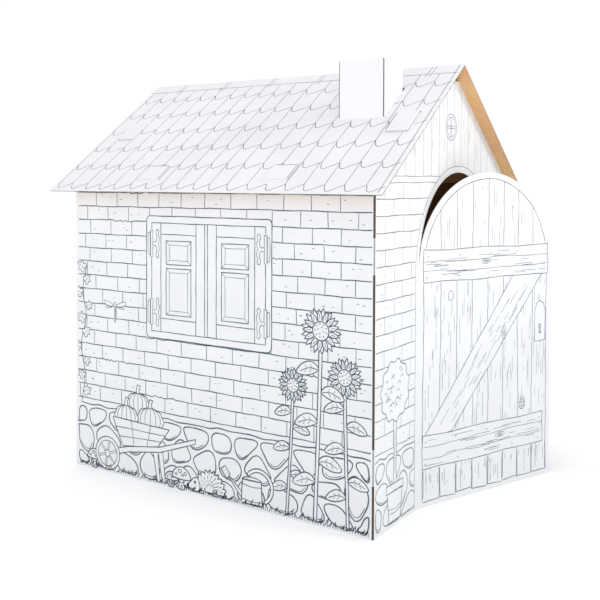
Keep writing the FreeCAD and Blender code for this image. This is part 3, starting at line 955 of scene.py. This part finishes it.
def pumpkin(paper, u, v, wide, tall):
    stem = [(-5, tall * 0.86), (-4, tall + 8), (-9, tall + 17), (2, tall + 19), (6, tall + 6),
            (6, tall * 0.86)]
    parts = [("plate", stem, 2.3, 0.2)]
    for share in (0.0, -0.42, 0.42, -0.78, 0.78):
        rib = [(wide * share * cos(t) * 0.98, tall * 0.9 * sin(t))
               for t in np.linspace(-1.35, 1.25, 9)]
        parts.append(("curve", rib, 1.7, 0.3))
    skin = []
    for x, y in circle(0, 0, 1, count=28):
        lobe = 1 + 0.045 * cos(8 * atan2(y, x))
        skin.append((wide * lobe * x, tall * lobe * y * (0.92 if y > 0 else 1.0)))
    paper.motif(parts + [("blob", skin, 2.7, 0.4)], u, v)


def wheelbarrow(paper, u, v, flip):
    # a wooden barrow heaped with pumpkins
    x, y = -118, 48  # the wheel's axle
    parts = []
    for k in range(6):
        cosT, sinT = cos(pi * k / 3 + 0.3), sin(pi * k / 3 + 0.3)
        for side in (-2.6, 2.6):
            spoke = [(x + reach * cosT - side * sinT, y + reach * sinT + side * cosT)
                     for reach in (9, 35)]
            parts.append(("line", spoke, 1.7, 0.2))
    shaft = [(-122, 56), (-40, 80), (70, 96), (178, 132), (192, 136), (190, 124), (176, 119),
             (70, 82), (-36, 66), (-116, 42)]
    tray = np.array([(-98, 152), (-62, 78), (62, 92), (104, 146)])
    boards = [tray[[0, 3]] * (1 - share) + tray[[1, 2]] * share for share in (0.33, 0.66)]
    parts += [
        ("ring", circle(x, y, 9), 2.2, 0.2), ("ring", circle(x, y, 35), 2.2, 0.3),
        ("blob", circle(x, y, 45), 2.8, 0.4), ("plate", shaft, 2.6, 0.4),
        ("line", boards[0], 2.0, 0.6), ("line", boards[1], 2.0, 0.6),
        ("line", [(-30, 150), (-20, 84)], 2.0), ("line", [(40, 148), (26, 90)], 2.0),
        ("plate", tray, 2.8),
    ]
    parts += [("plate", [(x, 82), (x + 14, 6), (x + 25, 6), (x + 16, 84)], 2.4, 0.3)
              for x in (48, 66)]
    paper.motif(parts, u, v, flip=flip)
    for x, y, wide, tall in ((-48, 160, 42, 32), (38, 162, 46, 35), (-6, 200, 40, 30)):
        pumpkin(paper, u + flip * x, v + y, wide, tall)


sunflowerLook = {"heart": 21, "petals": 13, "reach": (47, 51), "stem": 4.2}


def sunflower(paper, u, v, size, foot, lean):
    # seeds, heart and two rings of petals, then the leaves on a stem that leans to its foot
    look = sunflowerLook
    heart = look["heart"] * size
    for ring, count in ((0.35, 4), (0.7, 9)):
        for x, y in circle(u, v, heart * ring, count=count, start=ring):
            paper.draw("line", [(x - 2, y), (x, y + 2.4), (x + 2, y)], 1.3, 0.1)
    paper.draw("blob", circle(u, v, heart), 2.4, 0.4)
    for layer, reach in enumerate(look["reach"]):
        reach, half = reach * size, 6.2 * size
        petal = [(heart * 0.95, -half * 0.6), (heart * 1.5, -half), (reach * 0.86, -half * 0.55),
                 (reach, 0),
                 (reach * 0.86, half * 0.55), (heart * 1.5, half), (heart * 0.95, half * 0.6)]
        for k in range(look["petals"]):
            t = 2 * pi * (k + layer * 0.5) / look["petals"] + paper.dice.uniform(-0.05, 0.05)
            turn = np.array([(cos(t), sin(t)), (-sin(t), cos(t))])
            if layer == 0:
                vein = np.array([(heart * 1.25, 0), (reach * 0.8, 0)])
                paper.draw("line", vein @ turn + (u, v), 1.2, 0.2)
            paper.draw("plate", np.array(petal) @ turn + (u, v), 2.2, 0.3)
    stem = smoothCurve([(u, v - 20 * size), (u + lean * 0.25, v * 0.62), (u + lean, foot)])
    for height, way in ((0.30, 1), (0.42, -1), (0.56, 1), (0.70, -1), (0.84, 1)):
        paper.motif(sunflowerLeaf, *stem[int(len(stem) * height)], size, way)
    side = (look["stem"] * size, 0)
    paper.draw("line", stem + side, 2.3, 0.3)
    paper.draw("line", stem - side, 2.3, 0.3)
    paper.cover(np.concatenate([stem + side, (stem - side)[::-1]]))


# motifs that are the same wherever they stand, each from its front part to its rear one
toadstool = (
    *(("ring", circle(x, y, r, r * 0.8, 9), 1.6, 0.2)
      for x, y, r in ((-14, 47, 5), (6, 52, 6), (20, 42, 3.5), (-4, 41, 3.2))),
    ("blob", [(-34, 34), (-30, 48), (-18, 60), (0, 65), (18, 60), (30, 48), (34, 34), (18, 30),
              (0, 29), (-18, 30)], 2.6, 0.3),
    ("curve", [(-14, 25), (0, 20), (14, 25)], 1.6, 0.2),
    ("blob", [(-9, 31), (-8, 18), (-12, 2), (12, 2), (8, 18), (9, 31)], 2.4, 0.3),
)
hedgehog = (
    ("ring", circle(-40, 26, 2.2, count=7), 2.4, 0.0),
    ("ring", circle(-63, 15, 2.6, count=7), 2.6, 0.0),
    ("curve", [(-56, 10), (-48, 8), (-42, 11)], 1.5, 0.1),
    ("blob", [(-66, 15), (-56, 24), (-44, 36), (-32, 38), (-24, 20), (-28, 6), (-44, 3),
              (-58, 8)], 2.5, 0.3),
    *(("plate", [(x - 9, 2), (x - 6, 9), (x + 6, 9), (x + 8, 2)], 2.1, 0.2) for x in (-18, 26)),
    *(("line", [(8 + 46 * reach * cos(t), 10 + 50 * reach * sin(t)),
                (11 + (46 * reach + 8) * cos(t), 10 + (50 * reach + 8) * sin(t))], 1.5, 0.2)
      for reach, shift in ((0.30, 0.5), (0.49, 1.0), (0.68, 0.5), (0.87, 1.0))
      for t in (pi * (k + shift) / 9.6 for k in range(9))),
    ("plate", [(8 + 47 * spike * x, 8 + 51 * spike * y) for (x, y), spike in
               zip(circle(0, 0, 1, count=25, sweep=pi), (1.14, 1.0) * 13)], 2.6, 0.2),
)
wateringCan = (
    *(("curve", [(-32, level), (0, level - 4), (29, level)], 1.8, 0.3) for level in (14, 50)),
    ("plate", [(-34, 4), (-30, 62), (26, 62), (30, 4)], 2.7, 0.4),
    ("blob", circle(-2, 63, 28, 7, 14), 2.2, 0.2),
    *(("line", [(-88 + k * 4, 73 - k * 3), (-86 + k * 4, 75 - k * 3)], 2.0, 0.0) for k in range(4)),
    ("plate", [(-84, 84), (-97, 74), (-78, 52), (-68, 66)], 2.2, 0.2),
    ("plate", [(-76, 66), (-70, 56), (-31, 12), (-33, 30)], 2.4, 0.3),
    ("plate", circle(18, 50, 44, count=15, start=-1.1, sweep=3.6)
     + circle(18, 50, 35, count=15, start=-1.1, sweep=3.6)[::-1], 2.3, 0.2),
)
dragonfly = (
    *(("blob", [(way * 3, 4), (way * long * 0.5, 4 + lift), (way * long, 4 + lift * 1.5),
                (way * long * 0.95, 4 + lift * 0.4), (way * long * 0.5, 2 + lift * 0.1)], 1.6, 0.2)
      for way in (-1, 1) for lift, long in ((9, 38), (-5, 32))),
    ("blob", [(-3, 2), (-4, 10), (0, 15), (4, 10), (3, 2)], 1.8, 0.1),
    *(("line", [(-2, -2 - 8 * k), (2, -2 - 8 * k)], 1.3, 0.0) for k in range(5)),
    ("plate", [(-2.6, 2), (2.6, 2), (1.6, -40), (-1.6, -40)], 1.7, 0.1),
)
ladybird = (
    *(("ring", circle(x, y, 1.6, count=6), 1.6, 0.0)
      for x, y in ((-5, 4), (5, 4), (-6, -5), (6, -5))),
    ("line", [(0, -12), (0, 9)], 1.5, 0.1),
    ("blob", circle(0, -1, 11, 12, 12), 1.9, 0.2),
    ("blob", circle(0, 12, 6, 5, 9), 1.9, 0.1),
    *(("line", [(way * 2, 16), (way * 7, 24)], 1.3, 0.1) for way in (-1, 1)),
)
roundWindow = (
    *(("line", [(-26, side), (26, side)], 1.6, 0.2) for side in (3, -3)),
    *(("line", [(side, -26), (side, 26)], 1.6, 0.2) for side in (3, -3)),
    ("ring", circle(0, 0, 26, count=20), 1.8, 0.3),
    ("blob", circle(0, 0, 34, count=20), 2.2, 0.3),
)
sunflowerLeaf = (
    ("curve", [(5, -1), (28, 1), (54, -9)], 1.5, 0.3),
    *(("line", [(x, y), (x + dx, y + dy)], 1.1, 0.2)
      for x, y, dx, dy in ((20, 1, 6, 8), (34, 0, 6, 7), (22, -1, 7, -8), (36, -4, 5, -7))),
    ("blob", [(3, 0), (14, 12), (32, 15), (52, 4), (62, -12), (44, -17), (24, -13), (9, -6)],
     2.3, 0.4),
)
treePot = (
    ("plate", [(-38, 66), (38, 66), (36, 82), (-36, 82)], 2.5, 0.3),
    ("curve", [(-30, 34), (0, 30), (29, 34)], 1.8, 0.4),
    ("curve", [(-28, 26), (0, 22), (28, 26)], 1.8, 0.4),
    ("plate", [(-33, 66), (-25, 6), (25, 6), (33, 66)], 2.6, 0.4),
)
treeLook = {"leaves": 26, "spread": 46.0, "height": 268.0}
treeCrown = (
    ("blob", [(bump * x, treeLook["height"] + bump * y) for (x, y), bump in
              zip(circle(0, 0, 1, count=44), (58, 63, 63, 58) * 11)], 2.5, 0.4),
    ("curve", [(1, 100), (-1, 150), (1, 190)], 1.3, 0.4),
    ("plate", [(-6, 82), (-5, 150), (-7, 214), (7, 214), (5, 150), (6, 82)], 2.4, 0.3),
)


def ivy(paper, points):
    # a climbing stem with five-lobed leaves on both sides
    stem = smoothCurve(points)
    leaf = [(0, 0), (-9, -3), (-13, 4), (-8, 9), (-14, 16), (-6, 17), (0, 28), (6, 17), (14, 16),
            (8, 9), (13, 4), (9, -3)]
    for k in range(2, len(stem) - 1, 3):
        way = 1 if (k // 3) % 2 else -1
        turn = way * paper.dice.uniform(0.7, 1.3)
        size = paper.dice.uniform(0.8, 1.15)
        turned = np.array(leaf) @ [(cos(turn), -sin(turn)), (sin(turn), cos(turn))]
        shape = stem[k] + (6 * way, 3) + size * turned
        root, tip = shape[0], shape[6]
        paper.draw("line", [root, root * 0.3 + tip * 0.7], 1.2, 0.2)
        paper.draw("line", [stem[k], root], 1.5, 0.2)
        paper.draw("plate", shape, 1.9, 0.2)
    paper.draw("line", stem, 2.2, 0.4)


def pottedTree(paper, u, v, size):
    # a round clipped tree in a rimmed pot
    look, dice = treeLook, paper.dice
    paper.motif(treePot, u, v, size)
    for _ in range(look["leaves"]):
        t, r = dice.uniform(0, wholeTurn), look["spread"] * sqrt(dice.uniform(0, 1))
        x, y = r * cos(t), look["height"] + r * sin(t)
        paper.motif([("curve", [(x - 6, y), (x, y + 5), (x + 6, y)], 1.5, 0.2)], u, v, size)
    paper.motif(treeCrown, u, v, size)


def gardenPicture(paper):
    # the side wall's picture, front to back; the viewer's right is toward u = 0 here
    heavy = sideLook["heavyPress"]
    paper.press = heavy
    grass(paper, 12, length - 14, sideLook["grass"])
    paper.motif(hedgehog, 470, 6, flip=-1)
    paper.press = 1.0
    wheelbarrow(paper, 700, 4, -1)
    paper.press = heavy
    paper.motif(wateringCan, 330, 8, flip=-1)
    for u, size in ((555, 0.9), (590, 0.62), (868, 0.8)):
        paper.motif(toadstool, u, 4, size)
    for u, v, size, lean in ((138, 452, 1.05, 14), (74, 352, 0.9, -10), (214, 318, 0.8, 16)):
        sunflower(paper, u, v, size, 8, lean)
    paper.press = 1.0
    ivy(paper, [(918, 180), (905, 260), (920, 340), (900, 420), (914, 490), (898, 560)])
    paper.motif(dragonfly, 790, 452)


sideOutline = rectangle(4, 3, length - 5, wallTop - 2)
doorOutline = arch(4, 6, doorWidth - 6, doorSpring)
for name, face, outline, ink, seed, picture, *choice in (
        ("printLeftWall", "leftWall", sideOutline, wallInk, 11, sideFace, True),
        ("printFrontGable", "frontGable", gableOutline(), litSlateInk, 23, gableFace, True),
        ("printDoorLeaf", "doorLeaf", doorOutline, litSlateInk, 37, doorLeaf),
        ("printRightWall", "rightWall", sideOutline, wallInk, 41, sideFace, False),
        ("printRearGable", "rearGable", gableOutline(), wallInk, 53, gableFace, False)):
    paper = Print(name, charts[face], outline, ink, seed)
    picture(paper, *choice)
    paper.build()

tabLook = {
    "sideStarts": (233.0, 636.0),
    "sideWidth": 67.0,
    "sideFoot": 7.9,  # from the wall's outer face to where the tab lies flat on the roof
    "fold": 56.0,  # its length there
    "gableStart": 203.0,
    "gableWidth": 82.0,
}
look = tabLook
# the right wall is the same blank turned round, so its tabs count from the rear
tabStarts = {
    "left": look["sideStarts"],
    "right": [length - start - look["sideWidth"] for start in look["sideStarts"]],
}
sideTip = look["sideFoot"] + look["fold"]
eave = house["eaveReach"]
u0, u1 = -house["frontOverhang"], length + house["rearOverhang"]
for side, seed in (("left", 61), ("right", 67)):
    sloped = dict(charts[side + "Slope"])
    sloped["origin"] = sloped["origin"] - sloped["up"] * eave * mm
    roofOutline = rectangle(u0 + 2, 3, u1 - 2, slopeLength + eave - 1)
    paper = Print("print" + side.title() + "Slope", sloped, roofOutline, roofInk, seed)
    # the tabs and the chimney on the roof hide the tiles under them
    for start in tabStarts[side]:
        paper.cover(rectangle(start - 2, eave - 8,
                              start + look["sideWidth"] + 2, eave + sideTip + 2))
    low = eave + look["gableStart"]
    for start in (-4, length - board - look["fold"] - 2):
        paper.cover(rectangle(start, low - 2,
                              start + board + look["fold"] + 6, low + look["gableWidth"] + 7))
    if side == "left":
        low = (chimneyLow.x - left) / mm / cosPitch + eave
        start = (chimneyLow.y - front) / mm
        paper.cover(rectangle(start - 1, low + 1, start + house["chimneyAlong"] + 1,
                              low + house["chimneyAcross"] / cosPitch + 6))
    pantiles(paper, u0, u1)
    paper.build()

for side in ("left", "right"):
    # the brown line along the open edges of a folded tab: partly its cut edge, partly painted
    # shadow of the gap under its lifted end
    paper = Print("tipsOf" + side.title() + "Tabs", charts[side + "Tabs"],
                  rectangle(-5, -5, length + 5, slopeLength), tabEdgeAndShadowInk, 71)
    tip = sideTip - 0.7
    for start in tabStarts[side]:
        end = start + look["sideWidth"]
        paper.draw("line", [(start + 1, tip), (end - 1, tip)], 1.3, 0.2)
        shown = start + 0.8 if side == "left" else end - 0.8
        paper.draw("line", [(shown, look["sideFoot"]), (shown, tip)], 1.6, 0.1)
    low, tip = look["gableStart"] + 1, board + look["fold"] - 0.7
    paper.draw("line", [(tip, low), (tip, low + look["gableWidth"] - 2)], 1.6, 0.2)
    paper.build()

studioLook = {
    "floor": 40.0,  # metres across
    "shade": "#F8F9FA", "pale": "#FBFBFB",
    "mottle": 13333,  # mm
    "glow": 0.12,  # the paper's own, so that it stays clean to its far edge
    "sky": 1.04,
}
look = studioLook
# Seamless background paper: matt and almost white, with a faint slow mottle.
floorMaterial, tree, _ = newMaterial("paleSeamlessPaper")
grain = add(tree, "ShaderNodeTexNoise", {  # its scale counts over the floor's width
    "Scale": look["floor"] / mm / look["mottle"], "Detail": 2.0})
tone = add(tree, "ShaderNodeValToRGB", {
    "Fac": grain, "stops": ((0.3, look["shade"]), (0.7, look["pale"]))})
add(tree, "Principled BSDF", {
    "Base Color": tone, "Roughness": 0.9, "Specular IOR Level": 0.1,
    "Emission Color": "#FFFFFF", "Emission Strength": look["glow"]})
half = look["floor"] / 2
mesh = bpy.data.meshes.new("studioFloor")
mesh.from_pydata([(u, v, 0) for u, v in rectangle(-half, -half, half, half)], [], [(0, 1, 2, 3)])
mesh.materials.append(floorMaterial)
floor = addObject("studioFloor", mesh)

scene = bpy.context.scene
scene.world = bpy.data.worlds.new("studio")
scene.world.use_nodes = True
add(scene.world.node_tree, "Background", {"Color": "#FFFFFF", "Strength": look["sky"]})

lamps = {
    # name: place, aim, width and height in metres, watts, spread in degrees, colour; the grids on
    # both strips keep their light on the upper part, so that the walls dim a little to the floor
    "keyStripbox": ((1.7, -4.9, 3.4), (0.1, -0.4, 1.2), (3.0, 0.8), 4.2, 27, "#FFFDFA"),
    "fillStripbox": ((-3.6, -2.0, 1.0), (-0.41, 0.1, 0.79), (3.2, 0.6), 1.55, 24, "#FCFDFF"),
}
for name, (spot, aim, (wide, tall), watts, spread, colour) in lamps.items():
    light = bpy.data.lights.new(name, "AREA")
    light.shape = "RECTANGLE"
    light.size = wide
    light.size_y = tall
    light.spread = radians(spread)
    light.energy = watts
    light.color = toLinear(colour)[:3]
    lamp = addObject(name, light)
    lamp.location = spot
    lamp.rotation_euler = (Vector(aim) - Vector(spot)).to_track_quat("-Z", "Y").to_euler()

# mm from the front left corner of the house, then degrees
cameraLook = {"spot": (-1693.7, -905.7, 793.7), "turn": 56.506, "down": 1.273, "roll": 0.21,
              "lens": 52.385, "shiftX": 0.0114, "shiftY": -0.1652}
look = cameraLook
turn, down = radians(look["turn"]), radians(look["down"])
ahead = Vector((sin(turn) * cos(down), cos(turn) * cos(down), -sin(down)))
cameraData = bpy.data.cameras.new("studioCamera")
cameraData.lens = look["lens"]
cameraData.shift_x = look["shiftX"]
cameraData.shift_y = look["shiftY"]
camera = addObject("studioCamera", cameraData)
camera.location = Vector(look["spot"]) * mm + Vector((left, front, 0))
facing = ahead.to_track_quat("-Z", "Y").to_matrix() @ Matrix.Rotation(radians(look["roll"]), 3, "Z")
camera.rotation_euler = facing.to_euler()
scene.camera = camera
scene.view_settings.view_transform = "Standard"
print("studio set")
